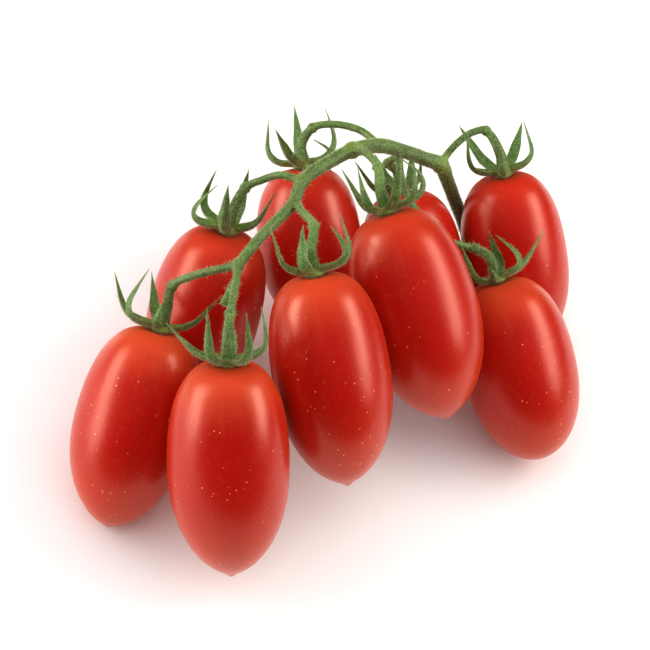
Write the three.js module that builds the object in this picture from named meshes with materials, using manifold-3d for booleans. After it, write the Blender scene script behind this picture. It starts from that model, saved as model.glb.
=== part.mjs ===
// A truss of nine plum tomatoes, as picked, lying on a surface.
// Millimetres, +Z up. The surface is z = 0 and the origin is under the middle of the truss.
// Nine fruits, the green star of sepals on each, and the one branched stem that carries them.
import * as THREE from 'three';
import { mergeVertices } from 'three/addons/utils/BufferGeometryUtils.js';
import Module from 'manifold-3d';

const wasm = await Module();
wasm.setup();

// Places are given as someone looking down on the truss sees them: to the right, up, and toward them.
const VIEW_ELEVATION = 55;   // degrees above the surface that they look from
const VIEW_ROLL = 19;        // degrees that the truss is turned in their view

const GAP = 0.3;             // between pieces that touch
const FLAT_DEPTH = 0.3;      // how far a fruit's low point is pressed flat on the surface
const RED = 0xb80d08;
const SEPAL_GREEN = 0x5f8440;
const STEM_GREEN = 0x77924e;

// A fruit: its stem end, the lean of its tip to the right, the tilt of its stem end toward the viewer,
// both in degrees, its length and radius, how far its middle bows to the right, how blunt its lower
// end is, from 0.5 for round to 0.66 for pointed, and the length of the small knob at its tip.
// Its sepals: the way each one points round the fruit's axis (0 right, 90 away, 180 left, 270 toward
// the viewer), its length, the slope that it starts and ends with, where 90 is straight up, and the
// share of its length at which it bends most.
const FRUITS = [
  { head: [-44.1, -1.6, 29.4], lean: -16, tilt: 10, length: 56.3, radius: 16.0, bow: -0.6, blunt: 0.58,
    knob: 0.6,
    sepals: [[202, 22, 0, 112, 0.4], [175, 20, -4, 64, 0.4], [118, 19, 10, 45, 0.25], [5, 18, 12, 64, 0.3],
      [250, 10, 10, 108, 0.3]] },
  { head: [-25.0, -10.0, 53.0], lean: 0, tilt: 20, length: 60.8, radius: 16.2, bow: -0.3, blunt: 0.61,
    knob: 1.3,
    sepals: [[182, 18, 2, 52, 0.3], [236, 21, 10, 92, 0.3], [308, 21, 12, 100, 0.4], [355, 20, 10, 100, 0.4],
      [80, 10, 0, 40, 0.3]] },
  { head: [-27.0, 25.6, 13.0], lean: -16, tilt: 23, length: 54.4, radius: 15.8, bow: -0.4, blunt: 0.60,
    knob: 1.0,
    sepals: [[200, 21, 0, 126, 0.45], [150, 21, 0, 106, 0.4], [262, 22, 8, 68, 0.2], [82, 19, 12, 96, 0.25],
      [12, 17, 12, 77, 0.3]] },
  { head: [-2.7, 13.2, 39.6], lean: 9, tilt: 13, length: 58.7, radius: 16.1, bow: 0.2, blunt: 0.56,
    knob: 1.2,
    sepals: [[190, 18, 5, 84, 0.3], [240, 16, 8, 118, 0.25], [340, 18, 14, 124, 0.5], [5, 20, 2, 100, 0.4],
      [100, 13, 10, 75, 0.3]] },
  { head: [-6.3, 44.8, -9.8], lean: 5, tilt: 10, length: 47.7, radius: 15.1, bow: 0, blunt: 0.60,
    knob: 1.0,
    sepals: [[172, 19, 4, 100, 0.4], [246, 19, 14, 52, 0.3], [92, 21, 12, 72, 0.3], [36, 23, 4, 110, 0.45],
      [350, 14, 4, 148, 0.5]] },
  { head: [16.9, 30.3, 21.2], lean: 17, tilt: 10, length: 59.7, radius: 16.7, bow: 0.6, blunt: 0.60,
    knob: 0.8,
    sepals: [[195, 17, 8, 79, 0.2], [232, 18, 8, 104, 0.35], [304, 19, 14, 64, 0.2], [334, 18, 2, 80, 0.4],
      [18, 23, 0, 130, 0.5]] },
  { head: [22.0, 38.2, -17.9], lean: 11, tilt: 12, length: 46.2, radius: 14.5, bow: 0, blunt: 0.60,
    knob: 1.0,
    sepals: [[186, 16, -4, 70, 0.3], [232, 11, 0, 60, 0.3], [52, 15, 2, 77, 0.3], [2, 12, 5, 80, 0.3],
      [120, 14, 15, 70, 0.3]] },
  { head: [51.7, 43.4, -20.6], lean: 10, tilt: 20, length: 56.1, radius: 15.4, bow: 0, blunt: 0.60,
    knob: 1.0,
    sepals: [[196, 20, 12, 98, 0.4], [135, 19, 4, 58, 0.2], [270, 13, 0, 96, 0.3], [56, 18, 5, 46, 0.25],
      [350, 19, 14, 101, 0.4]] },
  { head: [48.4, 12.2, -1.7], lean: 15, tilt: 12, length: 53.5, radius: 16.3, bow: 0.3, blunt: 0.50,
    knob: 0.5,
    sepals: [[210, 16, -4, 88, 0.3], [67, 16, 5, 102, 0.3], [345, 18, 12, 130, 0.4], [14, 19, -4, 45, 0.3],
      [262, 8, 0, 55, 0.3]] },
];

// The rachis, from the fork at its far end to the cut end of the peduncle, with its radius at each point
const RACHIS = [
  [-22.9, 15.8, 40.0], [-17.8, 22.5, 36.0], [-14.1, 26.7, 32.0], [-8.6, 32.9, 26.0], [-6.0, 39.2, 21.5],
  [1.4, 44.9, 14.5], [7.5, 48.4, 9.5], [15.5, 50.3, 1.0], [22.8, 49.2, -6.0], [28.6, 47.5, -11.0],
  [33.1, 46.2, -15.5], [35.4, 42.1, -21.0], [37.8, 37.2, -28.0], [40.3, 32.3, -35.0], [42.8, 26.0, -41.0],
  [44.8, 20.2, -45.0],
];
const RACHIS_RADII = [1.35, 1.4, 1.4, 1.55, 1.8, 1.8, 2.0, 2.1, 2.0, 2.0, 2.3, 2.0, 1.9, 1.9, 1.9, 1.9];

// The pedicels, each from inside the rachis to the knuckle, where the fruit would break off. From
// there each runs down to its own fruit.
const PEDICELS = [
  { before: [[-22.9, 15.8, 40.0], [-29.1, 14.5, 38.0], [-35.9, 12.8, 35.0]], knuckle: [-40.8, 10.4, 32.0] },
  { before: [[-22.9, 15.8, 40.0], [-23.6, 9.2, 45.0]], knuckle: [-24.5, 3.1, 50.0] },
  { before: [[-6.0, 39.2, 21.5], [-12.3, 40.9, 19.0], [-17.2, 39.7, 17.0]], knuckle: [-21.9, 37.6, 15.5] },
  { before: [[-8.1, 32.9, 26.0], [-5.6, 29.7, 31.5]], knuckle: [-3.0, 26.2, 36.8] },
  { before: [[15.5, 50.3, 1.0], [9.9, 55.0, -3.0], [2.8, 56.9, -5.5]], knuckle: [-3.4, 56.1, -7.0] },
  { before: [[7.5, 48.4, 9.5], [11.0, 47.4, 14.5]], knuckle: [14.3, 43.4, 18.0] },
  { before: [[22.8, 49.2, -6.0], [20.3, 47.9, -9.5]], knuckle: [18.0, 46.4, -12.5] },
  { before: [[33.1, 46.2, -15.5], [36.1, 50.3, -16.5], [39.1, 53.3, -17.5], [42.7, 55.7, -18.5]],
    knuckle: [46.5, 56.3, -19.5] },
  { before: [[20.9, 49.4, -6.5], [21.5, 42.0, -3.5], [24.0, 35.0, -3.0], [29.0, 28.5, -3.0],
      [34.5, 24.0, -4.0], [38.3, 22.6, -5.5]],
    knuckle: [42.3, 21.8, -7.0] },
];
const PEDICEL_RADIUS = 1.05;
const KNUCKLE_RADIUS = 1.65;
const SWELL_RADIUS = 1.25;    // just past the knuckle
const FOOT_LENGTH = 4.5;      // its last stretch, straight along the fruit's axis
const FOOT_RADIUS = 1.9;      // where the pedicel meets the calyx

// The small aborted pedicel beside the one of the second fruit
const STUB = [[-23.4, 11.8, 42.2], [-24.6, 9.3, 43.6], [-26.5, 5.2, 45.0]];
const STUB_RADIUS = 1.1;

// The calyx: its solid middle and its sepals
const BOSS_RADIUS = 3.4;
const BOSS_TOP = 1.7;         // above the fruit's stem end
const BOSS_BOTTOM = -0.6;
const SEPAL_HEIGHT = 0.95;    // where the sepals leave the boss
const SEPAL_ROOT = 2.0;       // out from the axis, well inside the boss
const SEPAL_WIDTH = 3.1;
const BEND_SPREAD = 0.6;      // of a sepal's length, over which its slope changes
const SEPAL_THICKNESS = 1.0;

// How finely the faceted solids are divided
const FRUIT_SIDES = 20;
const BOSS_SIDES = 10;
const SEPAL_SIDES = 6;
const SEPAL_STEPS = 8;
const SEPAL_WALK = 16;
const STEM_SIDES = 8;
const STEM_STEP = 2.9;

const radians = THREE.MathUtils.degToRad;
const vector = (p) => new THREE.Vector3(...p);

// The fruit's own frame: its axis from tip to stem end, and right and away as the viewer sees them
function fruitFrame({ head, lean, tilt }) {
  const a = radians(lean), b = radians(tilt);
  const axis = new THREE.Vector3(-Math.sin(a) * Math.cos(b), Math.cos(a) * Math.cos(b), Math.sin(b));
  const right = new THREE.Vector3(Math.cos(a), Math.sin(a), 0);
  const away = new THREE.Vector3().crossVectors(axis, right);
  return new THREE.Matrix4().makeBasis(right, away, axis).setPosition(vector(head));
}

// A fruit's radius at a distance t from its stem end, as a share of its length: blunt shoulders,
// widest at WIDEST, then a longer taper to the tip
const WIDEST = 0.47;
function fruitRadius(t, blunt) {
  if (t < WIDEST) return (1 - ((WIDEST - t) / WIDEST) ** 2.2) ** (1 / 3.2);
  return (1 - ((t - WIDEST) / (1 - WIDEST)) ** 2.25) ** blunt;
}

// The profile of a fruit, from the tip, with its small pointed knob, to the dimple at its stem end
const DIMPLE_RADIUS = 4.6, DIMPLE_DEPTH = 1.3, KNOB_RADIUS = 1.5;
const PROFILE_STEPS = [0.985, 0.94, 0.86, 0.74, 0.6, 0.46, 0.32, 0.2, 0.11, 0.05, 0.017];
function fruitGeometry({ length, radius, bow, blunt, knob }) {
  const profile = [[0, -length], [KNOB_RADIUS, -length + knob * 0.6]];
  for (const t of PROFILE_STEPS) {
    profile.push([radius * fruitRadius(t, blunt), -(length - knob) * t]);
  }
  profile.push([DIMPLE_RADIUS, 0], [DIMPLE_RADIUS * 0.45, -DIMPLE_DEPTH * 0.75], [0, -DIMPLE_DEPTH]);
  const geometry = new THREE.LatheGeometry(profile.map((p) => new THREE.Vector2(...p)), FRUIT_SIDES);
  geometry.rotateX(Math.PI / 2);
  const at = geometry.attributes.position;
  for (let i = 0; i < at.count; i += 1) {
    const t = -at.getZ(i) / length;
    at.setX(i, at.getX(i) + bow * 4 * t * (1 - t));
  }
  return geometry;
}

// A limb: a closed cylinder bent along a curve. half(t) gives its half width and half thickness at t
// from 0 to 1, and across(t), where it is given, the direction of its width.
function limb(curve, steps, sides, half, across) {
  const geometry = new THREE.CylinderGeometry(1, 1, 1, sides, steps);
  const frames = curve.computeFrenetFrames(steps, false);
  const at = geometry.attributes.position;
  for (let i = 0; i < at.count; i += 1) {
    const t = Math.min(1, Math.max(0, at.getY(i) + 0.5));
    const k = Math.round(t * steps);
    const [width, thickness] = half(t);
    const side = across ?? frames.normals[k];
    const other = new THREE.Vector3().crossVectors(frames.tangents[k], side).normalize();
    const point = curve.getPointAt(t)
      .addScaledVector(side, at.getX(i) * width)
      .addScaledVector(other, at.getZ(i) * thickness);
    at.setXYZ(i, point.x, point.y, point.z);
  }
  return geometry;
}

// A solid for joining and cutting, from a closed geometry in either winding
function solid(geometry) {
  const bare = geometry.clone();
  for (const name of Object.keys(bare.attributes)) if (name !== 'position') bare.deleteAttribute(name);
  const merged = mergeVertices(bare, 1e-4);
  const at = merged.attributes.position;
  const index = [];
  let volume = 0;
  for (let i = 0; i < merged.index.count; i += 3) {
    const [a, b, c] = [0, 1, 2].map((j) => merged.index.getX(i + j));
    if (a === b || b === c || a === c) continue;
    index.push([a, b, c]);
    const [p, q, r] = [a, b, c].map((v) => new THREE.Vector3().fromBufferAttribute(at, v));
    volume += p.dot(q.cross(r));
  }
  const triangles = volume < 0 ? index.map(([a, b, c]) => [a, c, b]) : index;
  return new wasm.Manifold(new wasm.Mesh({
    numProp: 3,
    vertProperties: new Float32Array(at.array),
    triVerts: new Uint32Array(triangles.flat()),
  }));
}

function toGeometry(body) {
  const { vertProperties, triVerts } = body.getMesh();
  const geometry = new THREE.BufferGeometry();
  geometry.setAttribute('position', new THREE.BufferAttribute(new Float32Array(vertProperties), 3));
  geometry.setIndex(new THREE.BufferAttribute(new Uint32Array(triVerts), 1));
  geometry.computeVertexNormals();
  return geometry;
}

const joined = (bodies) => bodies.reduce((whole, body) => whole.add(body));

// A sepal: a blade that leaves the boss along its first slope and bends over to its last, tapering.
// Its middle line is walked in even steps, each along the slope that holds at the step's middle.
function sepal([around, length, rise, curl, bend]) {
  const out = new THREE.Vector3(Math.cos(radians(around)), Math.sin(radians(around)), 0);
  const across = new THREE.Vector3(-out.y, out.x, 0);
  const points = [out.clone().multiplyScalar(SEPAL_ROOT).setZ(SEPAL_HEIGHT)];
  for (let i = 0; i < SEPAL_WALK; i += 1) {
    const start = bend - BEND_SPREAD / 2;
    const turned = THREE.MathUtils.smoothstep((i + 0.5) / SEPAL_WALK, start, start + BEND_SPREAD);
    const slope = radians(rise + (curl - rise) * turned);
    const step = out.clone().multiplyScalar(Math.cos(slope)).setZ(Math.sin(slope));
    points.push(points.at(-1).clone().addScaledVector(step, length / SEPAL_WALK));
  }
  const curve = new THREE.CatmullRomCurve3(points, false, 'centripetal');
  const half = (t) => {
    const width = SEPAL_WIDTH * (0.75 + 0.9 * t - 0.65 * t * t) * (1 - t ** 2.6) + 0.5;
    return [width / 2, SEPAL_THICKNESS / 2];
  };
  return limb(curve, SEPAL_STEPS, SEPAL_SIDES, half, across);
}

// The calyx: a low boss in the fruit's dimple, with the sepals' roots sunk in it
function calyxGeometry({ sepals }) {
  const boss = new THREE.LatheGeometry([
    [0, BOSS_BOTTOM], [BOSS_RADIUS * 0.6, BOSS_BOTTOM + 0.1], [BOSS_RADIUS, 0.55], [BOSS_RADIUS * 0.9, 1.2],
    [BOSS_RADIUS * 0.62, BOSS_TOP], [0, BOSS_TOP],
  ].map((p) => new THREE.Vector2(...p)), BOSS_SIDES);
  boss.rotateX(Math.PI / 2);
  return toGeometry(joined([boss, ...sepals.map(sepal)].map(solid)));
}

// The stem: the rachis, a swelling at each branching, the pedicels with their knuckles, and the stub
function branch(points, radiusAt) {
  const curve = new THREE.CatmullRomCurve3(points.map(vector), false, 'centripetal');
  const steps = Math.ceil(curve.getLength() / STEM_STEP);
  return solid(limb(curve, steps, STEM_SIDES, (t) => [radiusAt(t), radiusAt(t)]));
}

function pedicel({ before, knuckle }, fruit) {
  const above = (height) => new THREE.Vector3(0, 0, height).applyMatrix4(fruitFrame(fruit)).toArray();
  const points = [...before, knuckle, above(BOSS_TOP + GAP + FOOT_LENGTH), above(BOSS_TOP + GAP)];
  const reach = points.map((p, i) => (i ? vector(p).distanceTo(vector(points[i - 1])) : 0));
  const total = reach.reduce((sum, r) => sum + r);
  const at = reach.slice(0, before.length + 1).reduce((sum, r) => sum + r) / total;
  const bump = 1.6 / total;
  return branch(points, (t) => {
    const swell = t < at ? PEDICEL_RADIUS
      : SWELL_RADIUS + (FOOT_RADIUS - SWELL_RADIUS) * ((t - at) / (1 - at)) ** 2;
    return swell + (KNUCKLE_RADIUS - SWELL_RADIUS) * Math.exp(-(((t - at) / bump) ** 2));
  });
}

function stemGeometry() {
  const last = RACHIS_RADII.length - 1;
  const rachisRadius = (t) => {
    const i = Math.min(last - 1, Math.floor(t * last));
    return THREE.MathUtils.lerp(RACHIS_RADII[i], RACHIS_RADII[i + 1], t * last - i);
  };
  const parts = [branch(RACHIS, rachisRadius)];
  PEDICELS.forEach((line, i) => parts.push(pedicel(line, FRUITS[i])));
  parts.push(branch(STUB, () => STUB_RADIUS));
  return toGeometry(joined(parts));
}

const truss = new THREE.Group();
truss.rotation.set(radians(90 - VIEW_ELEVATION), 0, radians(VIEW_ROLL));

function addPiece(name, geometry, color, roughness, frame) {
  const mesh = new THREE.Mesh(geometry, new THREE.MeshStandardMaterial({ color, roughness, metalness: 0 }));
  mesh.name = name;
  if (frame) frame.decompose(mesh.position, mesh.quaternion, mesh.scale);
  truss.add(mesh);
  return mesh;
}

const fruits = FRUITS.map((fruit, i) =>
  addPiece(`tomato_${i + 1}`, fruitGeometry(fruit), RED, 0.25, fruitFrame(fruit)));
FRUITS.forEach((fruit, i) =>
  addPiece(`calyx_${i + 1}`, calyxGeometry(fruit), SEPAL_GREEN, 0.7, fruitFrame(fruit)));
addPiece('truss_stem', stemGeometry(), STEM_GREEN, 0.7);

// Lay the truss down: the lowest fruits are pressed flat by a hair where they touch the surface
const part = new THREE.Group();
part.add(truss);
part.updateMatrixWorld(true);
const lowest = new THREE.Box3().setFromObject(part, true).min.z;
truss.position.z = -lowest - FLAT_DEPTH;
part.updateMatrixWorld(true);
const SLAB = 400;
const surface = new THREE.BoxGeometry(SLAB, SLAB, SLAB).translate(0, 0, -SLAB / 2);
for (const mesh of fruits) {
  if (new THREE.Box3().setFromObject(mesh, true).min.z < 0) {
    const below = surface.clone().applyMatrix4(mesh.matrixWorld.clone().invert());
    mesh.geometry = toGeometry(solid(mesh.geometry).subtract(solid(below)));
  } else {
    mesh.geometry = toGeometry(solid(mesh.geometry));
  }
}
const middle = new THREE.Box3().setFromObject(part, true).getCenter(new THREE.Vector3());
truss.position.x = -middle.x;
truss.position.y = -middle.y;

export default part;
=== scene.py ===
"""The looks of a truss of nine plum tomatoes that lies on a pale floor.

Every new piece is a surface worked out on a grid of two parameters, in millimetres as someone
looking down on the truss sees it (right, up, toward them), and then turned into the frame.
"""
import math

import bpy
import numpy as np
from mathutils import Matrix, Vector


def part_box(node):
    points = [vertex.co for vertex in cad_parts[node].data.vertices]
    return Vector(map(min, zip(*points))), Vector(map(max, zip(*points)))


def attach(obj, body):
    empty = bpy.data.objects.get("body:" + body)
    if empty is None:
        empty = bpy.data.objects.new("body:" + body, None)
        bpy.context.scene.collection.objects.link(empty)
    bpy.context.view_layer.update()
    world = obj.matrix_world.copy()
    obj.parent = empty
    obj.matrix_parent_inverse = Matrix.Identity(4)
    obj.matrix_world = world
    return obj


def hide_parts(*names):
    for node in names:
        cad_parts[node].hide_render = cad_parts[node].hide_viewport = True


bl_info = {
    "name": "Truss of plum tomatoes",
    "version": (1, 0, 0),
    "blender": (4, 5, 0),
    "location": "View3D > Sidebar > Truss",
    "description": "Builds the skins, calyces, stem and down of a truss of plum tomatoes",
    "category": "Add Mesh",
}

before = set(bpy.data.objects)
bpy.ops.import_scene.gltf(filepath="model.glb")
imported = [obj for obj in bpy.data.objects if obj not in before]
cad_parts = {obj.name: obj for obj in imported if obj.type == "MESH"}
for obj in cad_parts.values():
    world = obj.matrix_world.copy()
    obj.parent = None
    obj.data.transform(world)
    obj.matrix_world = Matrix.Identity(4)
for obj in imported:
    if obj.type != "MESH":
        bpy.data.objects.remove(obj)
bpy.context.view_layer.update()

# The viewer's place, as in the model's own source
VIEW_ELEVATION = 55.0
VIEW_ROLL = 19.0
VIEW_DISTANCE = 640.0
VIEW_WIDTH = 182.7      # what the picture spans across at the truss, in mm
SENSOR = 36.0

# A fruit: its stem end, lean, tilt, length, radius, bow, bluntness and tip knob, then its sepals, each
# with the way it points round the fruit's axis, its length, its slopes, and where it bends most
FRUITS = [
    dict(head=(-44.1, -1.6, 29.4), lean=-16, tilt=10, length=56.3, radius=16.0, bow=-0.6, blunt=0.58,
         knob=0.6, sepals=[(202, 22, 0, 112, 0.4), (175, 20, -4, 64, 0.4), (118, 19, 10, 45, 0.25),
                           (5, 18, 12, 64, 0.3), (250, 10, 10, 108, 0.3)]),
    dict(head=(-25.0, -10.0, 53.0), lean=0, tilt=20, length=60.8, radius=16.2, bow=-0.3, blunt=0.61,
         knob=1.3, sepals=[(182, 18, 2, 52, 0.3), (236, 21, 10, 92, 0.3), (308, 21, 12, 100, 0.4),
                           (355, 20, 10, 100, 0.4), (80, 10, 0, 40, 0.3)]),
    dict(head=(-27.0, 25.6, 13.0), lean=-16, tilt=23, length=54.4, radius=15.8, bow=-0.4, blunt=0.60,
         knob=1.0, sepals=[(200, 21, 0, 126, 0.45), (150, 21, 0, 106, 0.4), (262, 22, 8, 68, 0.2),
                           (82, 19, 12, 96, 0.25), (12, 17, 12, 77, 0.3)]),
    dict(head=(-2.7, 13.2, 39.6), lean=9, tilt=13, length=58.7, radius=16.1, bow=0.2, blunt=0.56,
         knob=1.2, sepals=[(190, 18, 5, 84, 0.3), (240, 16, 8, 118, 0.25), (340, 18, 14, 124, 0.5),
                           (5, 20, 2, 100, 0.4), (100, 13, 10, 75, 0.3)]),
    dict(head=(-6.3, 44.8, -9.8), lean=5, tilt=10, length=47.7, radius=15.1, bow=0.0, blunt=0.60,
         knob=1.0, sepals=[(172, 19, 4, 100, 0.4), (246, 19, 14, 52, 0.3), (92, 21, 12, 72, 0.3),
                           (36, 23, 4, 110, 0.45), (350, 14, 4, 148, 0.5)]),
    dict(head=(16.9, 30.3, 21.2), lean=17, tilt=10, length=59.7, radius=16.7, bow=0.6, blunt=0.60,
         knob=0.8, sepals=[(195, 17, 8, 79, 0.2), (232, 18, 8, 104, 0.35), (304, 19, 14, 64, 0.2),
                           (334, 18, 2, 80, 0.4), (18, 23, 0, 130, 0.5)]),
    dict(head=(22.0, 38.2, -17.9), lean=11, tilt=12, length=46.2, radius=14.5, bow=0.0, blunt=0.60,
         knob=1.0, sepals=[(186, 16, -4, 70, 0.3), (232, 11, 0, 60, 0.3), (52, 15, 2, 77, 0.3),
                           (2, 12, 5, 80, 0.3), (120, 14, 15, 70, 0.3)]),
    dict(head=(51.7, 43.4, -20.6), lean=10, tilt=20, length=56.1, radius=15.4, bow=0.0, blunt=0.60,
         knob=1.0, sepals=[(196, 20, 12, 98, 0.4), (135, 19, 4, 58, 0.2), (270, 13, 0, 96, 0.3),
                           (56, 18, 5, 46, 0.25), (350, 19, 14, 101, 0.4)]),
    dict(head=(48.4, 12.2, -1.7), lean=15, tilt=12, length=53.5, radius=16.3, bow=0.3, blunt=0.50,
         knob=0.5, sepals=[(210, 16, -4, 88, 0.3), (67, 16, 5, 102, 0.3), (345, 18, 12, 130, 0.4),
                           (14, 19, -4, 45, 0.3), (262, 8, 0, 55, 0.3)]),
]

# How orange each fruit still is round its stem end
STEM_END_ORANGE = (0.95, 0.85, 0.5, 0.8, 0.4, 0.6, 0.1, 0.2, 0.9)

# The rachis from the fork to the cut end of the peduncle, and its radius at each point
RACHIS = [
    (-22.9, 15.8, 40.0), (-17.8, 22.5, 36.0), (-14.1, 26.7, 32.0), (-8.6, 32.9, 26.0), (-6.0, 39.2, 21.5),
    (1.4, 44.9, 14.5), (7.5, 48.4, 9.5), (15.5, 50.3, 1.0), (22.8, 49.2, -6.0), (28.6, 47.5, -11.0),
    (33.1, 46.2, -15.5), (35.4, 42.1, -21.0), (37.8, 37.2, -28.0), (40.3, 32.3, -35.0),
    (42.8, 26.0, -41.0), (44.8, 20.2, -45.0),
]
RACHIS_RADII = (1.35, 1.4, 1.4, 1.55, 1.8, 1.8, 2.0, 2.1, 2.0, 2.0, 2.3, 2.0, 1.9, 1.9, 1.9, 1.9)
PEDUNCLE_START = 10     # the rachis point where the bare peduncle begins

# Each pedicel from inside the rachis, its last point the knuckle; from there it runs to its fruit
PEDICELS = [
    [(-22.9, 15.8, 40.0), (-29.1, 14.5, 38.0), (-35.9, 12.8, 35.0), (-40.8, 10.4, 32.0)],
    [(-22.9, 15.8, 40.0), (-23.6, 9.2, 45.0), (-24.5, 3.1, 50.0)],
    [(-6.0, 39.2, 21.5), (-12.3, 40.9, 19.0), (-17.2, 39.7, 17.0), (-21.9, 37.6, 15.5)],
    [(-8.1, 32.9, 26.0), (-5.6, 29.7, 31.5), (-3.0, 26.2, 36.8)],
    [(15.5, 50.3, 1.0), (9.9, 55.0, -3.0), (2.8, 56.9, -5.5), (-3.4, 56.1, -7.0)],
    [(7.5, 48.4, 9.5), (11.0, 47.4, 14.5), (14.3, 43.4, 18.0)],
    [(22.8, 49.2, -6.0), (20.3, 47.9, -9.5), (18.0, 46.4, -12.5)],
    [(33.1, 46.2, -15.5), (36.1, 50.3, -16.5), (39.1, 53.3, -17.5), (42.7, 55.7, -18.5),
     (46.5, 56.3, -19.5)],
    [(20.9, 49.4, -6.5), (21.5, 42.0, -3.5), (24.0, 35.0, -3.0), (29.0, 28.5, -3.0), (34.5, 24.0, -4.0),
     (38.3, 22.6, -5.5), (42.3, 21.8, -7.0)],
]
STUB = [(-23.4, 11.8, 42.2), (-24.6, 9.3, 43.6), (-26.5, 5.2, 45.0)]
# The swellings where limbs meet, each with its radius and how yellow it is
NODES = [((-22.9, 15.8, 40.0), 1.75, 0.1), ((-8.1, 32.9, 26.0), 1.8, 0.1), ((-6.0, 39.2, 21.5), 2.1, 0.3),
         ((7.5, 48.4, 9.5), 2.5, 1.0), ((15.5, 50.3, 1.0), 2.2, 0.2), ((33.1, 46.2, -15.5), 2.6, 1.0)]

# Sizes shared by the shapes, in mm
WIDEST = 0.47           # where a fruit is widest, as a share of its length from the stem end
DIMPLE_DEPTH, DIMPLE_SPREAD = 1.3, 2.7
KNOB_SPREAD = 1.8
SLIMMER = 0.992         # keeps a fruit's waves inside its solid
BOSS_RADIUS, BOSS_MIDDLE, BOSS_TOP = 2.8, 0.55, 1.9
SEPAL_ROOT, SEPAL_HEIGHT = 2.0, 0.95
BEND_SPREAD = 0.6       # of a sepal's length, over which its slope changes
FULL_LENGTH = 17.0      # shorter sepals are narrower
MOST_SWAY, MOST_TWIST = 0.06, 0.5       # a sepal's, as a share of its length and in radians
PEDICEL_RADIUS, KNUCKLE_RADIUS, SWELL_RADIUS, FOOT_RADIUS = 1.05, 1.65, 1.25, 1.9
KNUCKLE_SPREAD = 0.9
GROOVE_DEPTH, GROOVE_PLACE, GROOVE_SPREAD = 0.2, 1.3, 0.4       # the place is past the knuckle
FLARE_HEIGHT, FLARE_SPREAD = 0.5, 1.6   # where a pedicel leaves the rachis
FOOT_LENGTH, FOOT_DEPTH = 4.5, 1.2      # of a pedicel above its calyx, and inside it
STUB_RADIUS, STUB_CAP, CAP_SPREAD = 1.1, 0.15, 0.8      # the cap is a share of the radius
RACHIS_RIBS, STUB_RIBS, PEDICEL_RIBS = 0.03, 0.05, 0.07 # each a share of the radius
STEM_SIDES, STEM_STEP, STUB_STEP = 30, 0.5, 0.4
STEM_SMOOTHING = 3
BALL_ROWS, BALL_SIDES = 16, 20
BOSS_SIDES = 40
YELLOW_SPREAD = 2.9     # how far a node's yellow reaches
WOODY_START, WOODY_LENGTH, WOODY_REACH = 2, 15, 5       # along the peduncle, and off its line
HAIR_RADIUS, LONG_HAIR_RADIUS = 0.034, 0.045
HAIR_SINK = 0.05        # how far its root goes into the surface
HAIR_LEAN, HAIR_BEND, HAIR_TURN = 0.45, 0.35, 0.55
SHORT_HAIRS, LONG_HAIRS, SEPAL_HAIRS = (0.25, 0.65), (0.7, 1.5), (0.2, 0.8)     # least, most length
MM = 0.001

SEPAL_SEED, HAIR_SEED = 11, 23

# Colours and sheens that a user wouldn't change
TIP_SCAR, SEPAL_TIP, CUT_WOOD = (0.16, 0.05, 0.02), (0.40, 0.30, 0.12), (0.13, 0.115, 0.035)
NODE_YELLOW, FUZZ = (0.36, 0.46, 0.06), (0.42, 0.56, 0.20)
DEEP_HAIR, PALE_HAIR = (0.50, 0.60, 0.30), (0.80, 0.84, 0.60)
DEEP_FLOOR, PALE_FLOOR = (0.93, 0.93, 0.93), (0.96, 0.96, 0.96)
DOWNY_SHEEN = dict(Sheen_Weight=0.6, Sheen_Roughness=0.4, Sheen_Tint=(0.85, 0.95, 0.7, 1))
WAXY_SHEEN = dict(Sheen_Weight=0.2, Sheen_Roughness=0.55, Sheen_Tint=(1.0, 0.36, 0.10, 1))

# The stage. Each light has a seen place and a size in mm, a power and a colour; the last two values
# say whether it lights surfaces and whether it shows in their gloss
WARM, WHITE, COOL = (1.0, 0.92, 0.84), (1.0, 0.97, 0.94), (0.96, 0.985, 1.0)
LIGHTS = [
    ("left_box", (-560, 170, 250), (250, 760), 2.7, WARM, True, True),
    ("left_shine", (-560, 170, 250), (250, 760), 5.6, WHITE, False, True),
    ("right_box", (610, 170, 250), (270, 760), 3.3, WARM, True, True),
    ("right_shine", (610, 170, 250), (270, 760), 4.4, WHITE, False, True),
    ("ceiling", (0, 860, 1230), (3600, 3600), 54.0, COOL, True, False),
]
LIGHTS_FACE = (0.0, 10.0, 0.0)          # the seen place that they all face
WORLD_STRENGTH, BACKDROP_STRENGTH = 0.05, 0.95
VIEW_GAMMA = 0.8
FLOOR_RADIUS = 0.6      # in metres


# The turn from what the viewer sees to the frame, and the shift that lays the truss down
def turn_matrix():
    """Rows of the rotation: a roll about the line of sight, then a tilt about the level axis."""
    a, b = math.radians(90 - VIEW_ELEVATION), math.radians(VIEW_ROLL)
    tilt = np.array([[1, 0, 0], [0, math.cos(a), -math.sin(a)], [0, math.sin(a), math.cos(a)]])
    roll = np.array([[math.cos(b), -math.sin(b), 0], [math.sin(b), math.cos(b), 0], [0, 0, 1]])
    return tilt @ roll


TURN = turn_matrix()


def fruit_frame(fruit):
    """The fruit's right, away and axis directions as columns, and its stem end."""
    a, b = math.radians(fruit["lean"]), math.radians(fruit["tilt"])
    axis = np.array([-math.sin(a) * math.cos(b), math.cos(a) * math.cos(b), math.sin(b)])
    right = np.array([math.cos(a), math.sin(a), 0.0])
    away = np.cross(axis, right)
    return np.stack([right, away, axis], axis=1), np.array(fruit["head"])


def from_fruit(fruit, points):
    """Points in the fruit's own frame, seen by the viewer."""
    basis, head = fruit_frame(fruit)
    return points @ basis.T + head


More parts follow.
